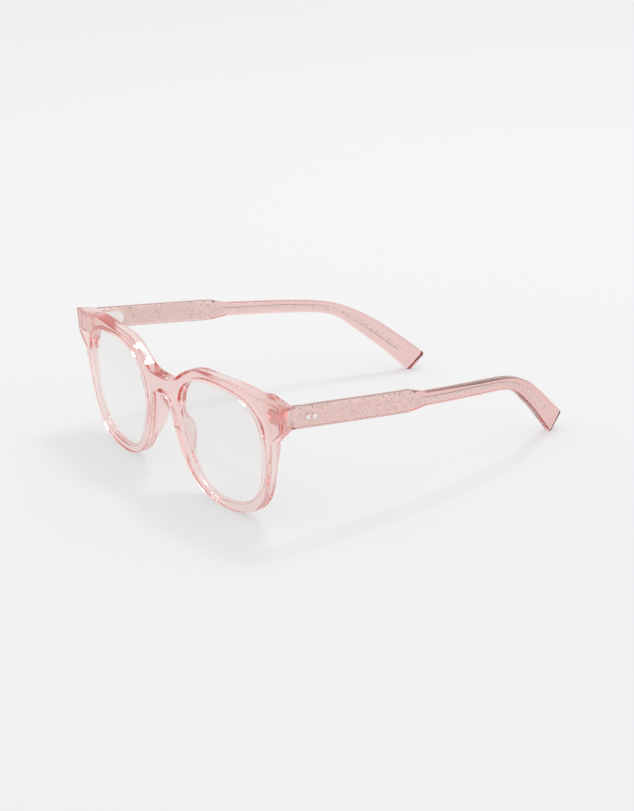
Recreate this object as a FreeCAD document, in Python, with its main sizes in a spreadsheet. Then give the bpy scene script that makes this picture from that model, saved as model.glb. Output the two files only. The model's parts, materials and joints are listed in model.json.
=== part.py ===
"""Spectacles with an acetate front, clear lenses and two folding temples on five-barrel hinges."""
import FreeCAD, Part
import math
import os

from FreeCAD import Placement, Rotation, Vector

# The driving sizes, in millimetres and degrees. Each is one row of the sheet.
driving = [
    # the front, drawn flat: across from the middle of the bridge, up from the bottom of the rims
    ("frontHalf", 70.0, "half of the width over the end pieces"),
    ("faceRadius", 451.0, "radius of the front's long curve"),
    ("frontTilt", 2.62, "lean of the front, top forward"),
    ("frontThick", 4.7, "thickness of the front halfway up"),
    ("backLean", 2.4, "lean of the back against the face, thicker at the brow"),
    ("jointDepth", 5.35, "depth of the joint behind the end piece's front"),
    ("jointSag", 0.6, "how far the joint's middle lies below the end piece's middle"),
    ("ledgeTop", 33.8, "height where the end piece's underside meets the joint"),
    ("ledgeBottom", 29.5, "height where the end piece's underside meets the rim's back"),
    ("blockInner", 59.8, "where the end piece reaches its full depth"),
    ("blockRun", 2.8, "width of the slope from the rim's back to the end piece"),
    ("cornerTop", 44.3, "height of the end piece's top corner"),
    ("cornerBottom", 35.4, "height of the end piece's bottom corner"),
    ("browPeak", 46.7, "height of the brow"),
    ("bridgeTop", 37.8, "height of the bridge's top"),
    ("bridgeUnder", 31.6, "height of the arch below the bridge"),
    ("rimCentre", 38.3, "distance of each rim's bottom from the middle"),
    ("facetRise", 0.13, "rise per millimetre of the end piece's top facet towards the middle"),
    # the lens opening
    ("openingWidth", 47.5, "width of the lens opening"),
    ("openingTall", 40.2, "height of the lens opening"),
    ("openingCentre", 35.55, "distance of the opening's middle from the bridge's middle"),
    ("openingBottom", 3.1, "height of the opening's lowest point"),
    ("grooveDeep", 0.7, "depth of the groove that holds the lens"),
    ("lensThick", 2.0, "thickness of the lens"),
    ("lensSetback", 1.1, "distance from the front face to the lens"),
    # nose pads
    ("padLong", 8.6, "half of a nose pad's length"),
    ("padWide", 2.5, "half of a nose pad's width at its base"),
    ("padProud", 3.2, "how far a nose pad stands behind the rim"),
    ("padAcross", 10.9, "distance of a pad's middle from the bridge's middle"),
    ("padUp", 19.3, "height of a pad's middle"),
    ("padRise", 2.4, "how far a pad's crest lies above its middle"),
    ("padLean", 20.0, "turn of the pads from upright"),
    ("padSplay", 0.8, "how far the pads spread towards the back"),
    # the temples, drawn along their own axis from the joint
    ("templeSlope", 6.57, "fall of the temples towards the back"),
    ("templeThick", 3.6, "thickness of the temple"),
    ("wideHalf", 3.75, "half of the height of the wide part"),
    ("wideLong", 48.2, "length of the wide part"),
    ("arrowLong", 6.6, "length of the taper behind the wide part"),
    ("narrowTop", 2.4, "height of the narrow part above the axis"),
    ("narrowBottom", 2.55, "depth of the narrow part below the axis"),
    ("earBend", 97.5, "distance from the joint to the ear bend"),
    ("tipBack", 132.5, "distance from the joint to the tip's upper corner"),
    ("tipDrop", 18.8, "fall of the tip's upper corner"),
    ("tipRound", 1.2, "rounding of the tip's corners"),
    ("tipWide", 8.9, "width of the flared tip"),
    ("tipAngle", 38.7, "lean of the tip's end"),
    ("tipInward", 25.8, "how far the tip bends inwards"),
    ("jointGap", 0.1, "gap between end piece and temple"),
    # the metal core of the temple
    ("coreThick", 0.7, "thickness of the core's plate"),
    ("coreMargin", 0.6, "acetate above and below the core's plate"),
    ("coreDepth", 1.45, "distance from the temple's outer face to the core"),
    ("wireHigh", 1.4, "height of the core's wire"),
    ("wireThick", 1.1, "thickness of the core's wire"),
    ("wireShort", 9.0, "distance from the end of the wire to the tip"),
    # the hinges
    ("knuckleOuter", 1.3, "outside radius of the hinge knuckles"),
    ("knuckleHigh", 1.0, "height of one of the five knuckles"),
    ("knuckleGap", 0.05, "gap between two knuckles"),
    ("pivotBack", 2.2, "distance from the joint to the hinge's axis"),
    ("pivotInside", 0.15, "gap between the knuckles and the temple's inner face"),
    ("plateThick", 1.4, "thickness of the front's hinge plate"),
    ("plateHalf", 2.6, "half of the height of the hinge plates"),
    ("plateOuter", 2.2, "distance from the end piece's side to the front's hinge plate"),
    ("plateLong", 4.8, "length of the straight part of the front's hinge plate"),
    ("leafLong", 7.6, "length of the temple's hinge plate"),
    ("leafSunk", 0.6, "depth of the temple's hinge plate in the acetate"),
    ("leafProud", 0.4, "height of the temple's hinge plate above the acetate"),
    ("screwShank", 0.6, "radius of the hinge screw"),
    ("screwHead", 0.95, "radius of the screw's head"),
    ("screwHeadHigh", 0.45, "height of the screw's head"),
    ("screwSlot", 0.28, "width of the slot in the screw's head"),
    ("screwRun", 0.02, "running clearance around the screw"),
    ("rivetAxis", 5.8, "distance from the joint to the first rivet"),
    ("rivetPitch", 2.6, "distance between the two rivets"),
    ("rivetAcross", 0.85, "radius of a rivet"),
    ("rivetDome", 0.15, "height of a rivet's dome"),
]

doc = FreeCAD.newDocument("Glasses")
sheet = doc.addObject("Spreadsheet::Sheet", "sizes")
for row, (alias, value, note) in enumerate(driving, 1):
    sheet.set(f"A{row}", alias)
    sheet.set(f"B{row}", str(value))
    sheet.set(f"C{row}", note)
    sheet.setAlias(f"B{row}", alias)
doc.recompute()


def size(alias):
    return float(sheet.get(alias))


# Views that the outlines are drawn in: plan (x, y), face (x, z) and side (y, z).
views = {
    "plan": Placement(),
    "face": Placement(Vector(), Rotation(Vector(1, 0, 0), 90)),
    "side": Placement(Vector(), Rotation(Vector(1, 1, 1), 120)),
}


def sketch(name, home, view, geometry):
    """A sketch in one of the views of a frame, from edges given in its own two directions."""
    drawn = doc.addObject("Sketcher::SketchObject", name)
    drawn.Placement = home.multiply(views[view])
    drawn.addGeometry(geometry, False)
    return drawn


def extrude(name, base, forward, backward="0"):
    """A solid from a closed sketch; both lengths are expressions of the sheet."""
    solid = doc.addObject("Part::Extrusion", name)
    solid.Base = base
    solid.DirMode = "Normal"
    solid.Solid = True
    solid.setExpression("LengthFwd", forward)
    solid.setExpression("LengthRev", backward)
    return solid


def primitive(kind, name, place, **lengths):
    """A box or cylinder whose lengths are expressions of the sheet."""
    solid = doc.addObject(f"Part::{kind}", name)
    solid.Placement = place
    for key, expression in lengths.items():
        solid.setExpression(key, expression)
    return solid


def cut(name, base, tool):
    solid = doc.addObject("Part::Cut", name)
    solid.Base = base
    solid.Tool = tool
    return solid


def fuse(name, shapes):
    solid = doc.addObject("Part::MultiFuse", name)
    solid.Shapes = shapes
    return solid


def common(name, shapes):
    solid = doc.addObject("Part::MultiCommon", name)
    solid.Shapes = shapes
    return solid


def mirror(name, source):
    """The right-hand twin of a left-hand piece."""
    solid = doc.addObject("Part::Mirroring", name)
    solid.Source = source
    solid.Normal = Vector(1, 0, 0)
    return solid


def at(x, y, z):
    return Placement(Vector(x, y, z), Rotation())


def flat(x, y):
    return Vector(x, y, 0)


def line(start, end):
    return Part.LineSegment(start, end)


def curve(points, start=None, end=None, closed=False):
    """A smooth curve through points, paced by their distances, with end directions where they matter."""
    ring = points + points[:1] if closed else points
    pace = [0.0]
    for here, there in zip(ring, ring[1:]):
        pace.append(pace[-1] + (there - here).Length)
    spline = Part.BSplineCurve()
    if start:
        start, end = Vector(start).normalize(), Vector(end).normalize()
        spline.interpolate(Points=points, Parameters=pace, InitialTangent=start, FinalTangent=end, Scale=False)
    else:
        spline.interpolate(Points=points, Parameters=pace, PeriodicFlag=closed)
    return spline


def polygon(points):
    return [line(a, b) for a, b in zip(points, points[1:] + points[:1])]


def stations(path, count):
    """Points along a curve with their directions."""
    first, last = path.FirstParameter, path.LastParameter
    for step in range(count):
        here = first + (last - first) * step / (count - 1)
        yield path.value(here), path.tangent(here)[0]


def beside(path, distance, count=12):
    """A curve on the left-hand side of another, a distance away."""
    return curve([spot + Vector(-way.y, way.x, 0) * distance for spot, way in stations(path, count)])


def band(path, near, far, roundEnd=False):
    """The closed outline between two curves that run beside a path."""
    first, second = beside(path, near), beside(path, far)
    tip, turn = first.EndPoint, second.EndPoint
    closing = line(tip, turn)
    if roundEnd:
        way = path.tangent(path.LastParameter)[0]
        closing = Part.Arc(tip, (tip + turn) / 2 + way * abs(far - near) / 2, turn)
    return [first, closing, second, line(second.StartPoint, first.StartPoint)]


# ---- The front, in its own frame: x across, y back, z up from the bottom of the rims ----

half = size("frontHalf")
radius = size("faceRadius")
thick = size("frontThick")
faceSag = radius - math.sqrt(radius ** 2 - half ** 2)


def face_depth(x):
    """Depth of the front face, which is zero at the outer corners."""
    return radius - math.sqrt(radius ** 2 - x ** 2) - faceSag


def outline_half():
    """The right-hand half of the front's outline, from the bridge's top round to its arch."""
    top = size("browPeak")
    bridge = size("bridgeTop")
    corner = size("cornerTop")
    low = size("cornerBottom")
    rim = size("rimCentre")
    under = size("bridgeUnder")
    brow = curve(
        [
            flat(0, bridge),
            flat(7, bridge + 0.6),
            flat(14, top - 4.7),
            flat(21, top - 1.2),
            flat(35, top - 0.1),
            flat(49, top),
            flat(half - 10.5, corner + 1.1),
            flat(half, corner),
        ],
        flat(6, 0),
        flat(9, -1),
    )
    heel = flat(half - 5.2, low - 4.6)
    shoulder = flat(rim + 25.6, heel.y - 0.8)
    rimEdge = curve(
        [
            shoulder,
            flat(rim + 23.5, 20.5),
            flat(rim + 22.0, 14.2),
            flat(rim + 18.3, 7.2),
            flat(rim + 10.9, 2.0),
            flat(rim, 0),
            flat(rim - 11.5, 1.0),
            flat(rim - 22.0, 6.75),
            flat(rim - 28.6, 16.9),
            flat(rim - 31.6, 26.0),
            flat(rim - 33.6, under - 1.3),
            flat(0, under),
        ],
        flat(0, -9),
        flat(-5, 0),
    )
    return [
        brow,
        line(flat(half, corner), flat(half, low)),
        line(flat(half, low), heel),
        line(heel, shoulder),
        rimEdge,
    ]


def mirrored(edges):
    """The same edges on the other side of the middle."""
    flipped = []
    for edge in edges:
        twin = edge.copy()
        twin.mirror(Vector(), Vector(0, 1, 0))
        flipped.append(twin)
    return flipped


def opening_curve():
    """The lens opening: a rounded shape, wider and squarer towards the outer top corner."""
    wide = size("openingWidth") / 2
    tall = size("openingTall") / 2
    middle = size("openingCentre")
    level = size("openingBottom") + tall
    shares = [
        (0.12, 1.00),
        (-0.45, 0.96),
        (-0.84, 0.72),
        (-1.00, 0.26),
        (-0.90, -0.24),
        (-0.69, -0.70),
        (-0.32, -0.97),
        (0.12, -1.00),
        (0.52, -0.88),
        (0.85, -0.56),
        (0.98, -0.10),
        (1.00, 0.30),
        (0.91, 0.69),
        (0.62, 0.91),
    ]
    points = [flat(middle + a * wide, level + b * tall) for a, b in shares]
    return curve(points, closed=True)


# ---- Where the pieces stand: on the rims' bottoms and the temple tips ----

tilt = size("frontTilt")
slope = size("templeSlope")
wideHalf = size("wideHalf")
earBend = size("earBend")
tipBack = size("tipBack")
tipAngle = math.radians(size("tipAngle"))
jointHeight = (size("cornerTop") + size("cornerBottom")) / 2 - size("jointSag")
lean = Placement(Vector(), Rotation(Vector(1, 0, 0), tilt))
tipHigh = flat(tipBack, -size("tipDrop"))
tipDown = flat(-math.sin(tipAngle), -math.cos(tipAngle))
tipAlong = flat(math.cos(tipAngle), -math.sin(tipAngle))
tipLow = tipHigh + tipDown * size("tipWide")
tipRound = size("tipRound")


def lie_from(place):
    """The temples' frame: its origin is the middle of the joint, and y runs along the temple."""
    return Placement(place, Rotation(Vector(1, 0, 0), -slope))


jointPoint = lean.multVec(Vector(0, size("jointDepth"), jointHeight))


def on_face(edge):
    """Points of the front's outer edge, leaning as the front does."""
    return [lean.multVec(Vector(0, face_depth(spot.x), spot.y)) for spot, way in stations(edge, 60)]


foremost = min(spot.y for spot in on_face(outline_half()[0]))
rearmost = lie_from(jointPoint).multVec(Vector(0, tipHigh.x, tipHigh.y)).y
lowest = min(spot.z for spot in on_face(outline_half()[-1]))
standing = at(0, -(foremost + rearmost) / 2, -lowest)
frontHome = standing.multiply(lean)
templeHome = standing.multiply(lie_from(jointPoint))


def local(home, x, y, z, turn=Rotation()):
    return home.multiply(Placement(Vector(x, y, z), turn))


# ---- The front's blank: outline, long curve and deeper end pieces ----

# The curved sheets run out past the sides, so that only the outline ends the front.
beyond = half + 3


def arc_at(distance, reach):
    """An arc of the front's curve, a distance behind its face, out to a reach on both sides."""
    bend = radius - distance
    centre = radius - faceSag
    edge = centre - math.sqrt(bend ** 2 - reach ** 2)
    return Part.Arc(flat(-reach, edge), flat(0, centre - bend), flat(reach, edge)), edge


def curved_sheet(name, near, far, home=frontHome):
    """A curved sheet between two depths behind the face, as tall as the front."""
    nearArc, nearEdge = arc_at(near, beyond)
    farArc, farEdge = arc_at(far, beyond)
    sides = [
        line(flat(beyond, nearEdge), flat(beyond, farEdge)),
        line(flat(-beyond, farEdge), flat(-beyond, nearEdge)),
    ]
    drawn = sketch(name + "_plan", home, "plan", [nearArc, farArc] + sides)
    return extrude(name, drawn, "sizes.browPeak + 10", "sizes.browPeak")


outline = sketch("front_outline", frontHome, "face", outline_half() + mirrored(outline_half()))
blank = extrude("front_blank", outline, "sizes.frontThick * 4", "sizes.frontThick * 4")
opening = opening_curve()
openingSketch = sketch("opening_outline", frontHome, "face", [opening])
openingTool = extrude("opening_left", openingSketch, "sizes.frontThick * 5", "sizes.frontThick * 5")
openingTools = [openingTool, mirror("opening_right", openingTool)]

blockInner = size("blockInner")
rampInner = blockInner - size("blockRun")
blockDepth = thick * 2
rampArc, rampEdge = arc_at(thick, rampInner)
faceArc, faceEdge = arc_at(0, beyond)
blockEdges = [
    faceArc,
    line(flat(beyond, faceEdge), flat(beyond, blockDepth)),
    line(flat(beyond, blockDepth), flat(blockInner, blockDepth)),
    line(flat(blockInner, blockDepth), flat(rampInner, rampEdge)),
    rampArc,
    line(flat(-rampInner, rampEdge), flat(-blockInner, blockDepth)),
    line(flat(-blockInner, blockDepth), flat(-beyond, blockDepth)),
    line(flat(-beyond, blockDepth), flat(-beyond, faceEdge)),
]
blockPlan = sketch("block_plan", frontHome, "plan", blockEdges)
blockBand = extrude("block_band", blockPlan, "sizes.browPeak + 10", "10")
jointLean = math.tan(math.radians(tilt + slope))


def joint_depth_at(height):
    """Depth of the joint's plane at a height of the front."""
    return size("jointDepth") + (height - jointHeight) * jointLean


ledgeTop, ledgeBottom = size("ledgeTop"), size("ledgeBottom")
tallest = size("browPeak") + 5
rimBack = face_depth(blockInner) + thick
blockSide = [
    flat(-thick, ledgeBottom),
    flat(rimBack, ledgeBottom),
    flat(joint_depth_at(ledgeTop), ledgeTop),
    flat(joint_depth_at(tallest), tallest),
    flat(-thick, tallest),
]
blockProfile = sketch("block_side", frontHome, "side", polygon(blockSide))
blockLimit = extrude("block_limit", blockProfile, "sizes.frontHalf + 5", "sizes.frontHalf + 5")
endBlocks = common("end_blocks", [blockBand, blockLimit])
faceSheet = curved_sheet("face_sheet", 0, thick * 2)
backTurn = Rotation(Vector(1, 0, 0), -size("backLean"))
backHome = frontHome.multiply(Placement(Vector(0, 0, size("browPeak") / 2), backTurn))
backSheet = curved_sheet("back_sheet", -thick, thick, backHome)
rimSheet = common("rim_sheet", [faceSheet, backSheet])
allDepths = fuse("all_depths", [rimSheet, endBlocks])

# Where the rim's back is deeper than the joint's plane, it stops at that plane, clear of the temple.
behindJoint = [
    flat(joint_depth_at(ledgeTop), ledgeTop),
    flat(joint_depth_at(tallest), tallest),
    flat(blockDepth * 2, tallest),
    flat(blockDepth * 2, ledgeTop),
]
clearanceSide = sketch("joint_clearance_side", frontHome, "side", polygon(behindJoint))
clearance = extrude("joint_clearance", clearanceSide, "sizes.frontHalf + 5", "sizes.frontHalf + 5")
depths = cut("front_depths", allDepths, clearance)
bentFront = cut("front_bent", common("front_solid", [blank, depths]), fuse("openings", openingTools))

# The end piece's top is filed down to the temple's top, towards the back and the outside.
templeTop = frontHome.inverse().multiply(templeHome).multVec(Vector(half, 0, wideHalf))
cornerPoint = Vector(half, 0, size("cornerTop"))
along = templeTop - cornerPoint
facetAcross = Vector(-1, 0, size("facetRise"))
facetTurn = Rotation(facetAcross, along, facetAcross.cross(along) * -1, "XZY")
facetPlace = local(frontHome, *cornerPoint, facetTurn)
facetBox = primitive(
    "Box",
    "facet_left",
    facetPlace.multiply(at(-thick, -thick * 4, 0)),
    Length="sizes.frontHalf * 0.6",
    Width="sizes.frontThick * 8",
    Height="sizes.frontThick * 3",
)

# ---- The lenses: cut to the opening, with a bevelled edge that seats in the groove ----

lensFront = size("lensSetback")
lensEdge = beside(opening, -size("grooveDeep"), 29)
lensEdge = curve([spot for spot, way in list(stations(lensEdge, 29))[:-1]], closed=True)
lensOutline = sketch("lens_outline", frontHome, "face", [lensEdge])
lensBlank = extrude("lens_blank", lensOutline, "sizes.frontThick * 3", "sizes.frontThick * 3")
lensSheet = curved_sheet("lens_sheet", lensFront, lensFront + size("lensThick"))
lensLeft = common("lens_left", [lensBlank, lensSheet])
lensRight = mirror("lens_right", lensLeft)

# ---- The nose pads: rounded wedges bonded to the backs of the rims ----

padBase = face_depth(size("padAcross")) + thick
padLayers = []
padSteps = (("root", -1.5, 0.0), ("waist", size("padProud") * 0.55, 0.5), ("crest", size("padProud"), 1.7))
for name, level, shrink in padSteps:
    ring = doc.addObject("Part::Ellipse", f"pad_{name}")
    ring.MajorRadius = size("padLong") - shrink * 2
    ring.MinorRadius = size("padWide") - shrink
    share = max(level, 0) / size("padProud")
    turn = Rotation(Vector(0, 1, 0), -size("padLean")).multiply(Rotation(Vector(1, 0, 0), 90))
    turn = turn.multiply(Rotation(Vector(0, 0, 1), 90))
    across = size("padAcross") + size("padSplay") * share
    place = Vector(across, padBase + level, size("padUp") + size("padRise") * share)
    ring.Placement = frontHome.multiply(Placement(place, turn))
    padLayers.append(ring)
padBlank = doc.addObject("Part::Loft", "pad_blank")
padBlank.Sections = padLayers
padBlank.Solid = True

# ---- The temples: a side outline and a plan that bends inwards at the ear ----

wideLong = size("wideLong")
narrow = wideLong + size("arrowLong")
narrowTop, narrowBottom = size("narrowTop"), -size("narrowBottom")
gap = size("jointGap")
planPath = curve(
    [
        flat(half, 0),
        flat(half - 2.7, wideLong),
        flat(half - 8.9, earBend - 10.5),
        flat(half - 15.4, earBend + 10),
        flat(half - 20.6, earBend + 21),
        flat(half - size("tipInward"), tipBack + 1),
    ],
    flat(-0.05, 1) * 45,
    flat(-0.2, 1) * 10,
)


def rounded(corner, coming, going, reach):
    """The quarter turn that rounds a square corner."""
    middle = corner + (going - coming) * reach * (1 - math.sqrt(0.5))
    return Part.Arc(corner - coming * reach, middle, corner + going * reach)


def temple_side():
    """The temple's outline from the side: wide part, arrow shoulder, ear bend and flared tip."""
    top = curve(
        [
            flat(narrow, narrowTop),
            flat(earBend - 25, narrowTop - 0.15),
            flat(earBend - 10, narrowTop - 0.45),
            flat(earBend, narrowTop - 1.45),
            flat(earBend + 10.2, narrowTop - 4.8),
            flat(earBend + 21, narrowTop - 11.1),
            tipHigh - tipAlong * tipRound,
        ]
    )
    bottom = curve(
        [
            tipLow - tipAlong * tipRound,
            flat(earBend + 17, narrowBottom - 12.75),
            flat(earBend + 8, narrowBottom - 6.1),
            flat(earBend + 2, narrowBottom - 2.1),
            flat(earBend - 3.5, narrowBottom - 0.45),
            flat(earBend - 11, narrowBottom),
            flat(earBend - 25, narrowBottom + 0.1),
            flat(narrow, narrowBottom),
        ]
    )
    return [
        line(flat(gap, wideHalf), flat(wideLong, wideHalf)),
        line(flat(wideLong, wideHalf), flat(narrow, narrowTop)),
        top,
        rounded(tipHigh, tipAlong, tipDown, tipRound),
        line(tipHigh + tipDown * tipRound, tipLow - tipDown * tipRound),
        rounded(tipLow, tipDown, tipAlong * -1, tipRound),
        bottom,
        line(flat(narrow, narrowBottom), flat(wideLong, -wideHalf)),
        line(flat(wideLong, -wideHalf), flat(gap, -wideHalf)),
        line(flat(gap, -wideHalf), flat(gap, wideHalf)),
    ]


def core_sides():
    """The core's plate with its pointed end, and the path of its wire."""
    middle = (narrowTop + narrowBottom) / 2
    edge = wideHalf - size("coreMargin")
    point = narrow - 0.8
    wire = size("wireHigh") / 2
    plate = [
        flat(gap, edge),
        flat(wideLong - 0.5, edge),
        flat(point, middle + wire),
        flat(point, middle - wire),
        flat(wideLong - 0.5, -edge),
        flat(gap, -edge),
    ]
    path = curve(
        [
            flat(point - 1.0, middle),
            flat(earBend - 25, middle),
            flat(earBend - 10.5, middle - 0.2),
            flat(earBend - 1, middle - 1.3),
            flat(earBend + 9, middle - 5.2),
            flat(earBend + 19, middle - 12.1),
            (tipHigh + tipLow) / 2 - tipAlong * size("wireShort"),
        ]
    )
    return polygon(plate), path


def strip(name, near, far):
    """An upright strip that follows the temple's plan between two depths from its outer face."""
    drawn = sketch(name + "_plan", templeHome, "plan", band(planPath, near, far))
    return extrude(name, drawn, "sizes.tipDrop * 3", "sizes.tipDrop * 3")


def side_solid(name, edges):
    drawn = sketch(name + "_side", templeHome, "side", edges)
    return extrude(name, drawn, "sizes.frontHalf * 2")


templeThick = size("templeThick")
templeBlank = common("temple_blank", [side_solid("temple_form", temple_side()), strip("strip", 0, templeThick)])

plateEdges, wirePath = core_sides()
coreDepth = size("coreDepth")
plateMiddle = coreDepth + size("coreThick") / 2
wireHalf = size("wireThick") / 2
plateStrip = strip("plate_strip", coreDepth, coreDepth + size("coreThick"))
wireStrip = strip("wire_strip", plateMiddle - wireHalf, plateMiddle + wireHalf)
wireEdges = band(wirePath, size("wireHigh") / 2, -size("wireHigh") / 2, roundEnd=True)
corePlate = common("core_plate", [side_solid("core_plate_form", plateEdges), plateStrip])
coreWire = common("core_wire", [side_solid("core_wire_form", wireEdges), wireStrip])
coreBlank = fuse("core_blank", [corePlate, coreWire])

# ---- The hinges ----

outer = size("knuckleOuter")
pivotBack = size("pivotBack")


def plan_x(back):
    """Across position of the temple's outer face, a distance behind the joint."""
    spots = [(spot.y, spot.x) for spot, way in stations(planPath, 200)]
    for (y0, x0), (y1, x1) in zip(spots, spots[1:]):
        if y0 <= back <= y1:
            return x0 + (x1 - x0) * (back - y0) / (y1 - y0)
    return spots[0][1]


innerFace = plan_x(pivotBack) - templeThick
pivotAcross = innerFace - size("pivotInside") - outer
pitch = size("knuckleHigh")
knuckleFace = size("knuckleGap") / 2


def knuckle(name, layer, arm):
    """One knuckle: a ring round the screw with an arm to its plate."""
    foot = (layer - 2.5) * pitch + knuckleFace
    height = "sizes.knuckleHigh - sizes.knuckleGap"
    ring = primitive(
        "Cylinder",
        name + "_ring",
        local(templeHome, pivotAcross, pivotBack, foot),
        Radius="sizes.knuckleOuter",
        Height=height,
    )
    if arm == "front":
        corner = (pivotAcross - outer, -knuckleFace, foot)
        lengths = {"Length": "2 * sizes.knuckleOuter", "Width": "sizes.pivotBack + sizes.knuckleGap / 2"}
    else:
        corner = (pivotAcross, pivotBack, foot)
        lengths = {"Length": "sizes.knuckleOuter", "Width": "sizes.knuckleOuter * 2"}
    reach = primitive("Box", name + "_arm", local(templeHome, *corner), Height=height, **lengths)
    return [ring, reach]


# The front's plate is let into the end piece from behind, flush with the joint.
plateOuter = half - size("plateOuter")
plateStraight = plateOuter - size("plateLong")
plateHalf = size("plateHalf")
plateBox = primitive(
    "Box",
    "front_plate_box",
    local(templeHome, plateStraight, -size("plateThick"), -plateHalf),
    Length="sizes.plateLong",
    Width="sizes.plateThick",
    Height="2 * sizes.plateHalf",
)
plateRound = primitive(
    "Cylinder",
    "front_plate_round",
    local(templeHome, plateStraight, 0, 0, Rotation(Vector(1, 0, 0), 90)),
    Radius="sizes.plateHalf",
    Height="sizes.plateThick",
)
frontKnuckles = [piece for layer in (0, 2, 4) for piece in knuckle(f"front_knuckle_{layer}", layer, "front")]
frontHingeBlank = fuse("front_hinge_blank", [plateBox, plateRound] + frontKnuckles)

# The temple's leaf is let into the inner face, with a round end towards the back.
leafStart = pivotBack + outer + size("pivotInside")
leafStraight = leafStart + size("leafLong") - plateHalf
leafEdges = [
    line(flat(leafStart, plateHalf), flat(leafStraight, plateHalf)),
    Part.Arc(flat(leafStraight, plateHalf), flat(leafStraight + plateHalf, 0), flat(leafStraight, -plateHalf)),
    line(flat(leafStraight, -plateHalf), flat(leafStart, -plateHalf)),
    line(flat(leafStart, -plateHalf), flat(leafStart, plateHalf)),
]
leafStrip = strip("leaf_strip", templeThick - size("leafSunk"), templeThick + size("leafProud"))
leafPlate = common("leaf_plate", [side_solid("leaf_form", leafEdges), leafStrip])
templeKnuckles = [piece for layer in (1, 3) for piece in knuckle(f"temple_knuckle_{layer}", layer, "temple")]
leafBlank = fuse("leaf_blank", [leafPlate] + templeKnuckles)

# The screw: its head sits in the top knuckle, and its end is threaded into the bottom one.
stackHalf = 2.5 * pitch
headFoot = stackHalf - knuckleFace - size("screwHeadHigh")
screwShank = primitive(
    "Cylinder",
    "screw_shank",
    local(templeHome, pivotAcross, pivotBack, knuckleFace - stackHalf),
    Radius="sizes.screwShank",
    Height="5 * sizes.knuckleHigh - sizes.knuckleGap - sizes.screwHeadHigh",
)
screwHead = primitive(
    "Cylinder",
    "screw_head",
    local(templeHome, pivotAcross, pivotBack, headFoot),
    Radius="sizes.screwHead",
    Height="sizes.screwHeadHigh",
)
screwSlot = primitive(
    "Box",
    "screw_slot",
    local(
        templeHome,
        pivotAcross - size("screwHead") - 1,
        pivotBack - size("screwSlot") / 2,
        headFoot + size("screwHeadHigh") / 2,
    ),
    Length="2 * sizes.screwHead + 2",
    Width="sizes.screwSlot",
    Height="sizes.screwHeadHigh",
)
screwLeft = cut("hinge_screw_left", fuse("screw_blank", [screwShank, screwHead]), screwSlot)

bore = primitive(
    "Cylinder",
    "screw_bore",
    local(templeHome, pivotAcross, pivotBack, pitch - stackHalf),
    Radius="sizes.screwShank + sizes.screwRun",
    Height="5 * sizes.knuckleHigh",
)
threadBore = primitive(
    "Cylinder",
    "thread_bore",
    local(templeHome, pivotAcross, pivotBack, -stackHalf - pitch),
    Radius="sizes.screwShank",
    Height="2 * sizes.knuckleHigh + 0.01",
)
headBore = primitive(
    "Cylinder",
    "head_bore",
    local(templeHome, pivotAcross, pivotBack, headFoot),
    Radius="sizes.screwHead + sizes.screwRun",
    Height="2 * sizes.screwHeadHigh",
)
hingeBores = fuse("hinge_bores", [bore, threadBore, headBore])
frontHinge = cut("front_hinge_left", frontHingeBlank, hingeBores)

# Two rivets go through leaf, core and acetate, with low domes on the outside.
rivets = []
for number in (0, 1):
    back = size("rivetAxis") + number * size("rivetPitch")
    outside = plan_x(back)
    inside = outside - templeThick - size("leafProud")
    shank = primitive(
        "Cylinder",
        f"rivet_shank_{number}",
        local(templeHome, inside, back, 0, Rotation(Vector(0, 1, 0), 90)),
        Radius="sizes.rivetAcross",
        Height="sizes.templeThick + sizes.leafProud",
    )
    dome = primitive(
        "Cone",
        f"rivet_dome_{number}",
        local(templeHome, outside, back, 0, Rotation(Vector(0, 1, 0), 90)),
        Radius1="sizes.rivetAcross",
        Radius2="sizes.rivetAcross * 0.6",
        Height="sizes.rivetDome",
    )
    rivets += [shank, dome]
rivetsLeft = fuse("temple_rivets_left", rivets)

leafTools = fuse("leaf_tools", [bore, rivetsLeft])
templeHinge = cut("temple_hinge_left", leafBlank, leafTools)
coreLeft = cut("temple_core_left", coreBlank, rivetsLeft)
slotted = cut("temple_slotted", templeBlank, coreBlank)
recessed = cut("temple_recessed", slotted, leafBlank)
templeLeft = cut("temple_left", recessed, rivetsLeft)

# ---- The front, with room for lenses, hinge plates and pads ----

lensTools = [lensLeft, lensRight]
facets = [facetBox, mirror("facet_right", facetBox)]
hingeTools = [frontHingeBlank, mirror("front_hinge_room", frontHingeBlank)]
frontTools = fuse("front_tools", lensTools + facets + hingeTools)
front = cut("frame_front", bentFront, frontTools)
padLeft = cut("nose_pad_left", padBlank, bentFront)

pieces = [front, lensLeft, lensRight]
leftPieces = [padLeft, frontHinge, screwLeft, templeHinge, rivetsLeft, coreLeft, templeLeft]
for piece in leftPieces:
    pieces += [piece, mirror(piece.Name.replace("_left", "_right"), piece)]
doc.recompute()

# ---- Checks and export ----

for item in doc.Objects:
    if "Invalid" in item.State or "Error" in item.State:
        raise SystemExit(f"{item.Name} failed: {item.State}")
for piece in pieces:
    piece.Label = piece.Name
    shape = piece.Shape
    if shape.isNull() or not shape.isValid() or not shape.Solids:
        raise SystemExit(f"{piece.Label} has no valid solid")

os.makedirs("parts", exist_ok=True)
for piece in pieces:
    piece.Shape.exportStep(f"parts/{piece.Label}.step")
    solids = len(piece.Shape.Solids)
    print(f"{piece.Label}: {solids} solid(s), {piece.Shape.Volume:.1f} mm3")
whole = Part.makeCompound([piece.Shape for piece in pieces]).optimalBoundingBox()
print(f"front-most {foremost:.2f}, stands {standing.Base}")
print(f"pivot of the left hinge: {templeHome.multVec(Vector(pivotAcross, pivotBack, 0))}")
print(f"whole: {whole.XMin:.2f} {whole.XMax:.2f}  {whole.YMin:.2f} {whole.YMax:.2f}  {whole.ZMin:.2f} {whole.ZMax:.2f}")
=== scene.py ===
import json
import math

import bmesh
import bpy
import numpy as np
from mathutils import Matrix, Vector


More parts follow.
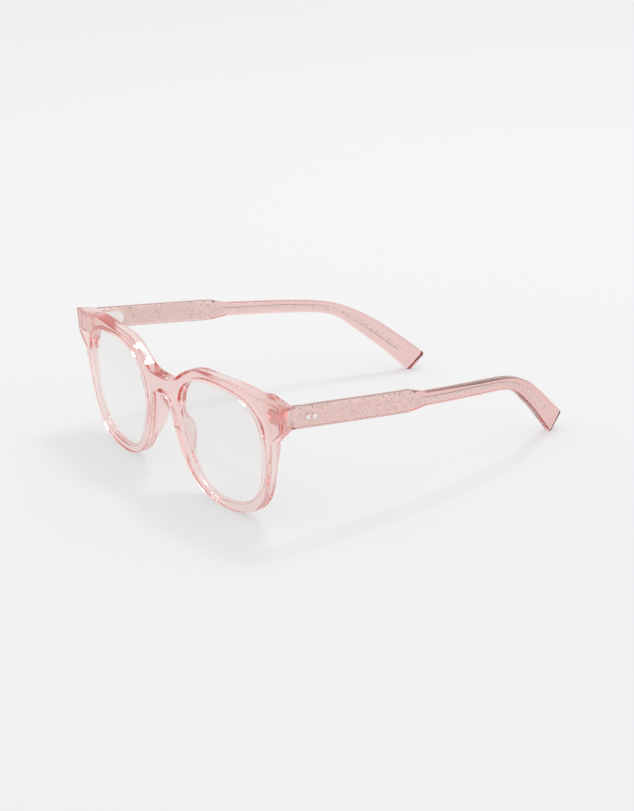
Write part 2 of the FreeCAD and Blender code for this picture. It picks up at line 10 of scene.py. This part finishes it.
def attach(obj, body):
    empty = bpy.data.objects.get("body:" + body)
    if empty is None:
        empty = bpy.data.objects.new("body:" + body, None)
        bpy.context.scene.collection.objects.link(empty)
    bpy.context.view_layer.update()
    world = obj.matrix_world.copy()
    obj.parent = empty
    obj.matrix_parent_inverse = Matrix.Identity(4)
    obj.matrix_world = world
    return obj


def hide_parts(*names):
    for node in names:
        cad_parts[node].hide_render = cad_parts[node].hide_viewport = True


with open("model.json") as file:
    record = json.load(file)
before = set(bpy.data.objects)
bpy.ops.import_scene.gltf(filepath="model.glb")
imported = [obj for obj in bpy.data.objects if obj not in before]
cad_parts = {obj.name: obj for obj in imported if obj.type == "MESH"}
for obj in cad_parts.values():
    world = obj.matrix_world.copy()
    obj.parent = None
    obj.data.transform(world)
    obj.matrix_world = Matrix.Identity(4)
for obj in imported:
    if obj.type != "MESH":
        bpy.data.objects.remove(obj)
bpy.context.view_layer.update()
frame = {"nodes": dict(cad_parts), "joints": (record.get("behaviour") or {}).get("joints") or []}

scene = bpy.context.scene
mm = 0.001

# how the glasses stand: the joint's place comes from the left hinge's axis
stance = {"frontTilt": 2.62, "pivotBack": 2.2, "jointDepth": 5.35, "jointHeight": 39.25}

leftJoint = next(joint for joint in frame["joints"] if joint["name"] == "left_fold")
templeUp = Vector(leftJoint["axis"])
templeBack = Vector((0, templeUp.z, -templeUp.y))
pivot = Vector(leftJoint["pos_m"]) / mm
jointPoint = Vector((0, pivot.y, pivot.z)) - templeBack * stance["pivotBack"]
templeFrame = Matrix((Vector((1, 0, 0)), templeBack, templeUp)).transposed().to_4x4()
templeFrame.translation = jointPoint
frontFrame = Matrix.Rotation(math.radians(stance["frontTilt"]), 4, "X")
frontFrame.translation = jointPoint - frontFrame @ Vector((0, stance["jointDepth"], stance["jointHeight"]))


def smoothLine(points, spacing=1.2, closed=False, start=None, end=None):
    # a smooth cubic through the points, paced by the distances between them
    p = np.array(points, float)
    if closed:
        p = np.vstack([p, p[:1]])
    step = np.linalg.norm(np.diff(p, axis=0), axis=1)
    count = len(p)
    a = np.zeros((count, count))
    b = np.zeros((count, 2))
    for i in range(1, count - 1):
        a[i, i - 1], a[i, i], a[i, i + 1] = step[i], 2 * (step[i - 1] + step[i]), step[i - 1]
        b[i] = 3 * (step[i] * (p[i] - p[i - 1]) / step[i - 1] + step[i - 1] * (p[i + 1] - p[i]) / step[i])
    if closed:
        a[0, 0], a[0, -1] = 1, -1
        a[-1, 0], a[-1, 1] = 2 / step[0], 1 / step[0]
        a[-1, -1], a[-1, -2] = 2 / step[-1], 1 / step[-1]
        b[-1] = 3 * ((p[1] - p[0]) / step[0] ** 2 + (p[-1] - p[-2]) / step[-1] ** 2)
    else:
        a[0, 0], a[0, 1] = 2, 1
        b[0] = 3 * (p[1] - p[0]) / step[0]
        a[-1, -1], a[-1, -2] = 2, 1
        b[-1] = 3 * (p[-1] - p[-2]) / step[-1]
        if start:
            a[0, 1] = 0
            a[0, 0] = 1
            b[0] = np.array(start) / np.linalg.norm(start)
        if end:
            a[-1, -2] = 0
            a[-1, -1] = 1
            b[-1] = np.array(end) / np.linalg.norm(end)
    slope = np.linalg.solve(a, b)
    line = []
    for i in range(count - 1):
        parts = max(1, round(step[i] / spacing))
        for k in range(parts):
            t = k / parts
            h = step[i]
            line.append(
                (2 * t**3 - 3 * t**2 + 1) * p[i]
                + (t**3 - 2 * t**2 + t) * h * slope[i]
                + (3 * t**2 - 2 * t**3) * p[i + 1]
                + (t**3 - t**2) * h * slope[i + 1]
            )
    if not closed:
        line.append(p[-1])
    return [Vector(spot) for spot in line]


def finish(bm, name, home, body, material, stands=(), sharp=40):
    # turns a bmesh drawn in millimetres into a finished piece that rides on a body
    bmesh.ops.remove_doubles(bm, verts=bm.verts, dist=0.0004)
    bmesh.ops.recalc_face_normals(bm, faces=bm.faces)
    bmesh.ops.transform(bm, matrix=Matrix.Scale(mm, 4) @ home, verts=bm.verts)
    mesh = bpy.data.meshes.new(name)
    bm.to_mesh(mesh)
    bm.free()
    mesh.shade_smooth()
    mesh.set_sharp_from_angle(angle=math.radians(sharp))
    piece = bpy.data.objects.new(name, mesh)
    scene.collection.objects.link(piece)
    mesh.materials.append(material)
    weighted = piece.modifiers.new("evenNormals", "WEIGHTED_NORMAL")
    weighted.keep_sharp = True
    weighted.weight = 90
    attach(piece, body)
    if stands:
        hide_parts(*stands)
    return piece


def slab(outline, depth, along):
    # a flat solid: the outline filled and pushed out
    bm = bmesh.new()
    face = bm.faces.new([bm.verts.new(spot) for spot in outline])
    pushed = bmesh.ops.extrude_face_region(bm, geom=[face])
    moved = [part for part in pushed["geom"] if isinstance(part, bmesh.types.BMVert)]
    bmesh.ops.translate(bm, vec=along * depth, verts=moved)
    bmesh.ops.recalc_face_normals(bm, faces=bm.faces)
    return bm


def roundRim(bm, chosen, reach, segments=3):
    edges = [edge for edge in bm.edges if all(chosen(vert.co) for vert in edge.verts)]
    bmesh.ops.bevel(
        bm, geom=edges, offset=reach, offset_type="OFFSET", affect="EDGES", segments=segments,
        profile=0.5, material=-1, clamp_overlap=True, loop_slide=True,
    )


def slices(bm, places, direction):
    # extra cuts across the solid, so that it can bend smoothly
    for place in places:
        bmesh.ops.bisect_plane(
            bm, geom=bm.verts[:] + bm.edges[:] + bm.faces[:], dist=0.0005,
            plane_co=direction * place, plane_no=direction,
        )


def mirrored(bm):
    twin = bm.copy()
    bmesh.ops.scale(twin, vec=(-1, 1, 1), verts=twin.verts)
    bmesh.ops.reverse_faces(twin, faces=twin.faces)
    return twin


def combine(bm, tool, operation):
    # joins or cuts two closed solids
    objects = []
    for part in (bm, tool):
        mesh = bpy.data.meshes.new("working")
        part.to_mesh(mesh)
        part.free()
        objects.append(bpy.data.objects.new("working", mesh))
        scene.collection.objects.link(objects[-1])
    change = objects[0].modifiers.new("combine", "BOOLEAN")
    change.operation = operation
    change.solver = "EXACT"
    change.object = objects[1]
    result = bmesh.new()
    result.from_object(objects[0], bpy.context.evaluated_depsgraph_get())
    for part in objects:
        bpy.data.meshes.remove(part.data)
    return result


# how each material looks: tint and density colour the light on its way through the acetate
acetateLook = {"ior": 1.48, "roughness": 0.02, "cloud": (1.0, 0.975, 0.97), "cloudScale": 90, "rippleScale": 160}
frontLook = {"tint": (0.885, 0.34, 0.28), "density": 80, "ripple": 0.006}
templeLook = {"tint": (0.842, 0.34, 0.29), "density": 185, "ripple": 0.004}
lensLook = {
    "top": (0.90, 0.885, 0.88), "bottom": (1.0, 1.0, 0.995), "tall": 0.0467, "mottle": 0.08, "mottleScale": 25,
    "ior": 1.5, "roughness": 0.0,
}
# the core's glow is painted light: the core gives off light in its own speckled colour
coreLook = {
    "dark": (0.30, 0.25, 0.22), "light": (1.0, 0.97, 0.93), "spark": (1.0, 0.99, 0.98), "grain": 3700,
    # edge: the colour of painted shade on the core's faces that point up or down
    "edge": (0.25, 0.2, 0.1875), "metal": 0.5, "roughness": 0.5, "glow": 0.36, "bump": 0.35,
}
# the hinge's glow is painted light; the screw and the rivets have none
hingeLook = {"colour": (0.80, 0.76, 0.74), "roughness": 0.3, "glow": 0.2, "stretch": (1, 1, 0.2)}
screwLook = {"colour": (0.55, 0.53, 0.51), "roughness": 0.3, "glow": 0, "stretch": (1, 1, 4)}
rivetLook = {"colour": (0.93, 0.92, 0.90), "roughness": 0.12, "glow": 0, "stretch": (1, 1, 1)}


def newMaterial(name):
    material = bpy.data.materials.new(name)
    material.use_nodes = True
    nodes, links = material.node_tree.nodes, material.node_tree.links
    shader = nodes["Principled BSDF"]
    where = nodes.new("ShaderNodeTexCoord").outputs["Object"]
    return material, nodes, links, shader, where


def grain(nodes, links, where, scale, detail=3, stretch=(1, 1, 1)):
    mapping = nodes.new("ShaderNodeMapping")
    mapping.inputs["Scale"].default_value = stretch
    links.new(where, mapping.inputs["Vector"])
    noise = nodes.new("ShaderNodeTexNoise")
    noise.inputs["Scale"].default_value = scale
    noise.inputs["Detail"].default_value = detail
    links.new(mapping.outputs["Vector"], noise.inputs["Vector"])
    return noise.outputs["Fac"]


def ramp(nodes, links, value, stops):
    colours = nodes.new("ShaderNodeValToRGB")
    elements = colours.color_ramp.elements
    for element, (position, colour) in ((elements[0], stops[0]), (elements[1], stops[-1])):
        element.position = position
        element.color = (*colour, 1)
    for position, colour in stops[1:-1]:
        elements.new(position).color = (*colour, 1)
    links.new(value, colours.inputs["Fac"])
    return colours.outputs["Color"]


def heightOf(nodes, links, vector):
    parts = nodes.new("ShaderNodeSeparateXYZ")
    links.new(vector, parts.inputs["Vector"])
    return parts.outputs["Z"]


def calculate(nodes, links, operation, value, factor=0.0, added=None):
    step = nodes.new("ShaderNodeMath")
    step.operation = operation
    links.new(value, step.inputs[0])
    step.inputs[1].default_value = factor
    if added:
        links.new(added, step.inputs[2])
    return step.outputs["Value"]


def roughen(nodes, links, shader, height, strength, distance):
    bump = nodes.new("ShaderNodeBump")
    bump.inputs["Strength"].default_value = strength
    bump.inputs["Distance"].default_value = distance
    links.new(height, bump.inputs["Height"])
    links.new(bump.outputs["Normal"], shader.inputs["Normal"])


def acetateMaterial(name, look):
    material, nodes, links, shader, where = newMaterial(name)
    shader.inputs["Transmission Weight"].default_value = 1
    shader.inputs["IOR"].default_value = acetateLook["ior"]
    shader.inputs["Roughness"].default_value = acetateLook["roughness"]
    cloud = grain(nodes, links, where, acetateLook["cloudScale"])
    tone = ramp(nodes, links, cloud, [(0.3, acetateLook["cloud"]), (0.7, (1, 1, 1))])
    links.new(tone, shader.inputs["Base Color"])
    ripple = grain(nodes, links, where, acetateLook["rippleScale"], 2)
    roughen(nodes, links, shader, ripple, look["ripple"], 0.01)
    depth = nodes.new("ShaderNodeVolumeAbsorption")
    depth.inputs["Color"].default_value = (*look["tint"], 1)
    depth.inputs["Density"].default_value = look["density"]
    links.new(depth.outputs["Volume"], nodes["Material Output"].inputs["Volume"])
    return material


def lensMaterial():
    material, nodes, links, shader, where = newMaterial("clearLens")
    shader.inputs["Transmission Weight"].default_value = 1
    shader.inputs["IOR"].default_value = lensLook["ior"]
    shader.inputs["Roughness"].default_value = lensLook["roughness"]
    # the tint deepens towards the brow, a little unevenly
    cloud = grain(nodes, links, where, lensLook["mottleScale"], 1)
    mottle = calculate(nodes, links, "MULTIPLY", cloud, lensLook["mottle"])
    height = calculate(nodes, links, "MULTIPLY_ADD", heightOf(nodes, links, where), 1 / lensLook["tall"], mottle)
    tone = ramp(nodes, links, height, [(0.1, lensLook["bottom"]), (1, lensLook["top"])])
    links.new(tone, shader.inputs["Base Color"])
    return material


def coreMaterial():
    material, nodes, links, shader, where = newMaterial("sandedCore")
    shader.inputs["Metallic"].default_value = coreLook["metal"]
    shader.inputs["Roughness"].default_value = coreLook["roughness"]
    # painted light: the core glows in its own speckled colour, brighter than the light that reaches it
    shader.inputs["Emission Strength"].default_value = coreLook["glow"]
    sand = grain(nodes, links, where, coreLook["grain"], 0)
    shades = [(0.2, coreLook["dark"]), (0.56, coreLook["light"]), (0.7, coreLook["spark"])]
    speckled = ramp(nodes, links, sand, shades)
    # painted shade: the faces that point up or down are darkened against the side faces
    facing = heightOf(nodes, links, nodes.new("ShaderNodeTexCoord").outputs["Normal"])
    upright = calculate(nodes, links, "ABSOLUTE", facing)
    edges = ramp(nodes, links, upright, [(0.5, (1, 1, 1)), (0.8, coreLook["edge"])])
    both = nodes.new("ShaderNodeMix")
    both.data_type, both.blend_type = "RGBA", "MULTIPLY"
    both.inputs["Factor"].default_value = 1
    links.new(speckled, both.inputs["A"])
    links.new(edges, both.inputs["B"])
    links.new(both.outputs["Result"], shader.inputs["Base Color"])
    links.new(both.outputs["Result"], shader.inputs["Emission Color"])
    roughen(nodes, links, shader, sand, coreLook["bump"], 0.0002)
    return material


def metalMaterial(name, look):
    material, nodes, links, shader, where = newMaterial(name)
    brushed = grain(nodes, links, where, 2600, 3, look["stretch"])
    colour = look["colour"]
    worn = tuple(part * 0.86 for part in colour)
    links.new(ramp(nodes, links, brushed, [(0.3, worn), (0.7, colour)]), shader.inputs["Base Color"])
    shader.inputs["Metallic"].default_value = 1
    shader.inputs["Roughness"].default_value = look["roughness"]
    # painted light: the metal glows in its own colour, as strongly as its look asks
    shader.inputs["Emission Color"].default_value = (*colour, 1)
    shader.inputs["Emission Strength"].default_value = look["glow"]
    roughen(nodes, links, shader, brushed, 0.08, 0.0001)
    return material


frontAcetate = acetateMaterial("pinkAcetate", frontLook)
templeAcetate = acetateMaterial("palePinkAcetate", templeLook)
clearLens = lensMaterial()
sandedCore = coreMaterial()
hingeMetal = metalMaterial("polishedHinge", hingeLook)
screwMetal = metalMaterial("turnedScrew", screwLook)
rivetMetal = metalMaterial("polishedRivet", rivetLook)
print("materials ready")

# the front and its lenses, in millimetres: across from the bridge's middle, up from the bottom of the rims
front = {
    "half": 70.0, "faceRadius": 451.0, "thick": 4.7, "backLean": 2.4, "browPeak": 46.7,
    "faceRounding": 0.45, "backRounding": 1.1, "blockStart": 56.6, "blockEnd": 58.8,
    "ledgeTop": 33.8, "ledgeBottom": 29.5, "rampFoot": 59.8, "facetRise": 0.13, "cornerTop": 44.3,
    "jointTop": 3.75, "steady": 3.4, "cut": 2.0, "fineCut": 0.275,
}
opening = {
    "width": 47.5, "tall": 40.2, "middle": 35.55, "bottom": 3.1, "groove": 0.7, "grooveStart": 1.02,
    "floorStart": 1.8, "floorEnd": 2.4, "grooveEnd": 3.18, "lensFit": 0.05, "lensEdge": 0.04,
}
pad = {"across": 11.2, "up": 18.6, "rise": 2.4, "long": 11.5, "wide": 4.0, "proud": 3.7, "lean": 21.0, "cut": 0.6}
faceSag = front["faceRadius"] - math.sqrt(front["faceRadius"] ** 2 - front["half"] ** 2)


def faceDepth(x):
    return front["faceRadius"] - math.sqrt(front["faceRadius"] ** 2 - x * x) - faceSag


def frontOutline():
    brow = smoothLine(
        [(0, 37.8), (7, 38.4), (14, 42.0), (21, 45.5), (35, 46.6), (49, 46.7), (59.5, 45.4), (70, 44.3)],
        start=(6, 0), end=(9, -1),
    )
    rim = smoothLine(
        [(63.9, 30.0), (61.8, 20.5), (60.3, 14.2), (56.6, 7.2), (49.2, 2.0), (38.3, 0), (26.8, 1.0),
         (16.3, 6.75), (9.7, 16.9), (6.7, 26.0), (4.7, 30.3), (0, 31.6)],
        start=(0, -9), end=(-5, 0),
    )
    half = brow + [Vector((70, 35.4)), Vector((64.8, 30.8))] + rim
    other = [Vector((-spot.x, spot.y)) for spot in half[1:-1]]
    return [Vector((spot.x, 0, spot.y)) for spot in half + other[::-1]]


def openingOutline():
    # the outline as shares of half the width and half the height
    shares = [
        (0.12, 1.0), (-0.45, 0.96), (-0.84, 0.72), (-1.0, 0.26), (-0.9, -0.24), (-0.69, -0.7), (-0.32, -0.97),
        (0.12, -1.0), (0.52, -0.88), (0.85, -0.56), (0.98, -0.1), (1.0, 0.3), (0.91, 0.69), (0.62, 0.91),
    ]
    wide, tall = opening["width"] / 2, opening["tall"] / 2
    spots = smoothLine(
        [(opening["middle"] + a * wide, opening["bottom"] + tall + b * tall) for a, b in shares], 1.0, closed=True
    )
    outward = []
    for i, spot in enumerate(spots):
        way = spots[(i + 1) % len(spots)] - spots[i - 1]
        outward.append(Vector((way.y, -way.x)).normalized() * -1)
    middle = sum(spots, Vector((0, 0))) / len(spots)
    if (spots[0] - middle).dot(outward[0]) < 0:
        outward = [-way for way in outward]
    return spots, outward


def ringStack(spots, outward, steps):
    # a closed solid of rings: each step gives a depth and how far the ring stands outside the outline
    bm = bmesh.new()
    place = bm.verts.layers.int.new("place")
    ring = []
    for i, spot in enumerate(spots):
        vert = bm.verts.new((spot.x, 0, spot.y))
        vert[place] = i
        ring.append(vert)
    cap = bm.faces.new(ring)
    moving = ring
    edges = list(cap.edges)

    def settle(verts, depth, reach):
        for vert in verts:
            spot = spots[vert[place]] + outward[vert[place]] * reach
            vert.co = (spot.x, depth, spot.y)

    settle(moving, *steps[0])
    for depth, reach in steps[1:]:
        grown = bmesh.ops.extrude_edge_only(bm, edges=edges)["geom"]
        moving = [part for part in grown if isinstance(part, bmesh.types.BMVert)]
        reached = set(moving)
        edges = [part for part in grown if isinstance(part, bmesh.types.BMEdge) and reached.issuperset(part.verts)]
        settle(moving, depth, reach)
    bm.faces.new(sorted(moving, key=lambda vert: vert[place]))
    bmesh.ops.recalc_face_normals(bm, faces=bm.faces)
    return bm


def openingTool():
    small, large, thick = front["faceRounding"], front["backRounding"], front["thick"]
    steps = [(-1, small)]
    for k in range(4):
        turn = math.radians(30 * k)
        steps.append((small * (1 - math.cos(turn)), small * (1 - math.sin(turn))))
    deep = opening["groove"]
    steps += [(opening["grooveStart"], 0), (opening["floorStart"], deep)]
    steps += [(opening["floorEnd"], deep), (opening["grooveEnd"], 0)]
    for k in range(5):
        turn = math.radians(22.5 * k)
        steps.append((thick - large + large * math.sin(turn), large * (1 - math.cos(turn))))
    steps.append((thick + 2, large))
    return ringStack(*openingOutline(), steps)


def localThickness(x, z):
    # depth of the back behind the face: the rim's own back, or the end piece's block where that is deeper
    x = abs(x)
    rimBack = front["thick"] + (z - front["browPeak"] / 2) * math.tan(math.radians(front["backLean"]))
    jointLean = math.tan(math.acos(min(1, templeUp.z)) + math.radians(stance["frontTilt"]))
    ledgeDepth = stance["jointDepth"] + (front["ledgeTop"] - stance["jointHeight"]) * jointLean
    if z > front["ledgeTop"]:
        block = stance["jointDepth"] + (z - stance["jointHeight"]) * jointLean
    else:
        share = max(0, (z - front["ledgeBottom"]) / (front["ledgeTop"] - front["ledgeBottom"]))
        low = faceDepth(front["rampFoot"]) + rimBack
        block = low + (ledgeDepth - low) * share
    block -= faceDepth(x)
    if z > front["ledgeTop"]:
        rimBack = min(rimBack, block)
    share = min(1, max(0, (x - front["blockStart"]) / (front["blockEnd"] - front["blockStart"])))
    share = share * share * (3 - 2 * share)
    if z < front["ledgeBottom"]:
        share = 0
    return rimBack + max(0, block - rimBack) * share


def bendFront(bm):
    # the part behind the groove stretches to the local thickness, and then all of it follows the long curve
    for vert in bm.verts:
        x, depth, z = vert.co
        reach = localThickness(x, z) + padHeight(x, z)
        steady, thick = front["steady"], front["thick"]
        if depth > thick:
            depth += reach - thick
        elif depth > steady:
            depth = steady + (depth - steady) / (thick - steady) * (reach - steady)
        vert.co.y = faceDepth(x) + depth


def padHeight(x, z):
    # the nose pads swell out of the rims' backs, highest above their middle, and fade out downwards
    turn = math.radians(pad["lean"])
    across, up = abs(x) - pad["across"], z - pad["up"]
    along = up * math.cos(turn) - across * math.sin(turn) - pad["rise"]
    aside = (across * math.cos(turn) + up * math.sin(turn)) / pad["wide"]
    along /= pad["long"] + (pad["rise"] if along < 0 else -pad["rise"])
    spread = min(1, along * along + aside * aside)
    return pad["proud"] * (1 - spread) ** 2


def facetEnd(bm, side):
    # the end piece's top is filed down towards the joint and the outside
    corner = Vector((front["half"] * side, 0, front["cornerTop"]))
    top = frontFrame.inverted() @ templeFrame @ Vector((front["half"] * side, 0, front["jointTop"]))
    across = Vector((-side, 0, front["facetRise"]))
    normal = across.cross(top - corner).normalized()
    if normal.z < 0:
        normal.negate()
    bmesh.ops.bisect_plane(
        bm, geom=bm.verts[:] + bm.edges[:] + bm.faces[:], dist=0.0005,
        plane_co=corner, plane_no=normal, clear_outer=True,
    )
    rim = [edge for edge in bm.edges if edge.is_boundary]
    bmesh.ops.holes_fill(bm, edges=rim, sides=0)


def buildFront():
    bm = slab(frontOutline(), front["thick"], Vector((0, 1, 0)))
    roundRim(bm, lambda spot: spot.y > front["thick"] - 0.001, front["backRounding"], 4)
    roundRim(bm, lambda spot: spot.y < 0.001, front["faceRounding"])
    tool = openingTool()
    for part in (mirrored(tool), tool):
        bm = combine(bm, part, "DIFFERENCE")
    across = Vector((1, 0, 0))
    slices(bm, [front["cut"] * k for k in range(-34, 35)], across)
    blockCuts = [front["blockStart"] + front["fineCut"] * k for k in range(9)]
    padCuts = [pad["across"] + pad["cut"] * k for k in range(-10, 13)]
    for cuts in (blockCuts, padCuts):
        slices(bm, cuts + [-spot for spot in cuts], across)
    slices(bm, [pad["up"] + pad["cut"] * k for k in range(-20, 20)], Vector((0, 0, 1)))
    slices(bm, [front["ledgeBottom"], 31, 32.5, front["ledgeTop"]], Vector((0, 0, 1)))
    bendFront(bm)
    facetEnd(bm, 1)
    facetEnd(bm, -1)
    return finish(
        bm, "frontAcetate", frontFrame, "front", frontAcetate,
        ("frame_front", "nose_pad_left", "nose_pad_right"), 38,
    )


def buildLens(side):
    spots, outward = openingOutline()
    fit, edge, narrower = opening["lensFit"], -opening["lensEdge"], opening["lensEdge"]
    reach = opening["groove"] - fit
    steps = [
        (opening["grooveStart"] + fit, edge), (opening["floorStart"] + narrower, reach),
        (opening["floorEnd"] - narrower, reach), (opening["grooveEnd"] - fit, edge),
    ]
    bm = ringStack(spots, outward, steps)
    if side < 0:
        bm = mirrored(bm)
    slices(bm, [front["cut"] * k for k in range(-31, 32)], Vector((1, 0, 0)))
    for vert in bm.verts:
        vert.co.y += faceDepth(vert.co.x)
    name = "left" if side > 0 else "right"
    return finish(bm, name + "Lens", frontFrame, "front", clearLens, ("lens_" + name,), 20)


frontPiece = buildFront()
print("front", len(frontPiece.data.polygons), "faces")
for side in (1, -1):
    buildLens(side)
print("lenses ready")

# the temples, in millimetres: back from the joint, up from their middle line
temple = {
    "thick": 3.6, "wideHalf": 3.75, "wideLong": 48.2, "narrow": 54.8, "narrowTop": 2.4, "narrowBottom": -2.55,
    "earBend": 97.5, "tipBack": 132.5, "tipDrop": 18.8, "tipWide": 8.9, "tipAngle": 38.7, "tipRound": 1.2,
    "gap": 0.1, "rounding": 0.85, "cut": 1.5,
}


def templeOutline():
    angle = math.radians(temple["tipAngle"])
    down = Vector((-math.sin(angle), -math.cos(angle)))
    along = Vector((math.cos(angle), -math.sin(angle)))
    high = Vector((temple["tipBack"], -temple["tipDrop"]))
    low = high + down * temple["tipWide"]
    soft = temple["tipRound"]
    bend, top, bottom = temple["earBend"], temple["narrowTop"], temple["narrowBottom"]
    upper = smoothLine([
        (temple["narrow"], top), (bend - 25, top - 0.15), (bend - 10, top - 0.45), (bend, top - 1.45),
        (bend + 10.2, top - 4.8), (bend + 21, top - 11.1), high - along * soft,
    ])
    lower = smoothLine([
        low - along * soft, (bend + 17, bottom - 12.75), (bend + 8, bottom - 6.1), (bend + 2, bottom - 2.1),
        (bend - 3.5, bottom - 0.45), (bend - 11, bottom), (bend - 25, bottom + 0.1), (temple["narrow"], bottom),
    ])
    corners = []
    for corner, coming, going in ((high, along, down), (low, down, -along)):
        centre = corner - coming * soft + going * soft
        for k in range(1, 6):
            turn = math.radians(15 * k)
            corners.append(centre + coming * soft * math.sin(turn) - going * soft * math.cos(turn))
        corners.append(corner + going * soft)
    wide, half, gap = temple["wideLong"], temple["wideHalf"], temple["gap"]
    loop = [Vector((gap, half)), Vector((wide, half))] + upper + corners[:6] + [low - down * soft]
    loop += corners[6:11] + lower + [Vector((wide, -half)), Vector((gap, -half))]
    return [Vector((0, spot.x, spot.y)) for spot in loop]


# the temple from above: how far its outer face stands from the middle, from the joint to the tip
planSpots = smoothLine(
    [(0, 70.0), (48.2, 67.3), (87, 61.1), (107.5, 54.6), (118.5, 49.4), (133.5, 44.2)],
    0.5, start=(1, -0.05), end=(1, -0.2),
)


def planPlace(back):
    # where the temple's outer face is, and how steeply it runs inwards
    for first, second in zip(planSpots, planSpots[1:]):
        if back <= second.x:
            break
    slope = (second.y - first.y) / (second.x - first.x)
    return first.y + (back - first.x) * slope, slope


def buildTemple(side):
    bm = slab(templeOutline(), temple["thick"], Vector((-1, 0, 0)))
    roundRim(bm, lambda spot: spot.x < -temple["thick"] + 0.001, temple["rounding"])
    roundRim(bm, lambda spot: spot.x > -0.001, temple["rounding"])
    slices(bm, [temple["cut"] * k for k in range(1, 90)], Vector((0, 1, 0)))
    for vert in bm.verts:
        place, slope = planPlace(vert.co.y)
        vert.co.x = place + vert.co.x * math.sqrt(1 + slope * slope)
    if side < 0:
        bm = mirrored(bm)
    name = "left" if side > 0 else "right"
    return finish(
        bm, name + "TempleAcetate", templeFrame, name + "_arm", templeAcetate,
        ("temple_" + name,), 38,
    )


for side in (1, -1):
    buildTemple(side)
print("temples ready")

# the metal parts keep their own shapes, and the parts that a piece stands for get the same material as it
looks = {
    "temple_core": sandedCore, "front_hinge": hingeMetal, "temple_hinge": hingeMetal, "hinge_screw": screwMetal,
    "temple_rivets": rivetMetal, "lens": clearLens, "temple": templeAcetate,
}
for name, node in frame["nodes"].items():
    kind = name.replace("_left", "").replace("_right", "")
    material = looks.get(kind, frontAcetate)
    for place in node.material_slots:
        place.material = material
    if not node.material_slots:
        node.data.materials.append(material)

# a pale studio: an even room, a floor that glows a little so that shadows stay faint, one lamp above the brow
studio = {"floorShade": 0.35, "floorGlow": 0.475, "floorSize": 6, "worldShade": 0.97, "bounces": 40}
keyLight = {"place": (-0.21, 0.43, 1.0), "target": (-0.01, -0.06, 0.04), "size": (0.30, 0.22), "power": 3.0}


def buildFloor():
    material, nodes, links, shader, where = newMaterial("paleFloor")
    shade = studio["floorShade"]
    tone = ramp(nodes, links, grain(nodes, links, where, 3), [(0.3, (shade,) * 3), (0.7, (shade * 1.01,) * 3)])
    links.new(tone, shader.inputs["Base Color"])
    shader.inputs["Roughness"].default_value = 0.9
    shader.inputs["Specular IOR Level"].default_value = 0.1
    shader.inputs["Emission Color"].default_value = (1, 1, 1, 1)
    shader.inputs["Emission Strength"].default_value = studio["floorGlow"]
    bm = bmesh.new()
    bmesh.ops.create_grid(bm, x_segments=1, y_segments=1, size=studio["floorSize"])
    mesh = bpy.data.meshes.new("paleFloor")
    bm.to_mesh(mesh)
    bm.free()
    floor = bpy.data.objects.new("paleFloor", mesh)
    floor.location = (0, 0, -0.00005)
    mesh.materials.append(material)
    scene.collection.objects.link(floor)


def buildLamp():
    light = bpy.data.lights.new("keyLight", "AREA")
    light.shape = "RECTANGLE"
    light.size, light.size_y = keyLight["size"]
    light.energy = keyLight["power"]
    lamp = bpy.data.objects.new("keyLight", light)
    lamp.location = keyLight["place"]
    aim = Vector(keyLight["target"]) - Vector(keyLight["place"])
    lamp.rotation_euler = aim.to_track_quat("-Z", "Y").to_euler()
    scene.collection.objects.link(lamp)


def buildWorld():
    world = bpy.data.worlds.new("studioAir")
    world.use_nodes = True
    air = world.node_tree.nodes["Background"]
    air.inputs["Color"].default_value = (*(studio["worldShade"],) * 3, 1)
    air.inputs["Strength"].default_value = 1
    scene.world = world


# the camera turns round its target: degrees, and millimetres
view = {
    "target": (-2.32, -5.03, 11.84), "azimuth": 57.927, "elevation": 19.676, "roll": -2.214,
    "distance": 800.4, "lens": 98.55,
}


def buildCamera():
    azimuth, elevation, roll = (math.radians(view[key]) for key in ("azimuth", "elevation", "roll"))
    level = math.cos(elevation)
    back = Vector((math.sin(azimuth) * level, -math.cos(azimuth) * level, math.sin(elevation)))
    right = Vector((0, 0, 1)).cross(back).normalized()
    up = back.cross(right)
    turned = right * math.cos(roll) + up * math.sin(roll)
    camera = bpy.data.cameras.new("studioCamera")
    camera.lens = view["lens"]
    camera.sensor_width = 36
    camera.clip_start = 0.01
    holder = bpy.data.objects.new("studioCamera", camera)
    matrix = Matrix((turned, back.cross(turned), back)).transposed().to_4x4()
    matrix.translation = (Vector(view["target"]) + back * view["distance"]) * mm
    holder.matrix_world = matrix
    scene.collection.objects.link(holder)
    scene.camera = holder


buildFloor()
buildWorld()
buildLamp()
buildCamera()
scene.view_settings.view_transform = "Standard"
# light crosses many faces inside the acetate, so it needs many bounces
scene.cycles.max_bounces = studio["bounces"]
scene.cycles.transmission_bounces = studio["bounces"]
scene.cycles.glossy_bounces = studio["bounces"]
print("studio ready")

bpy.context.view_layer.update()
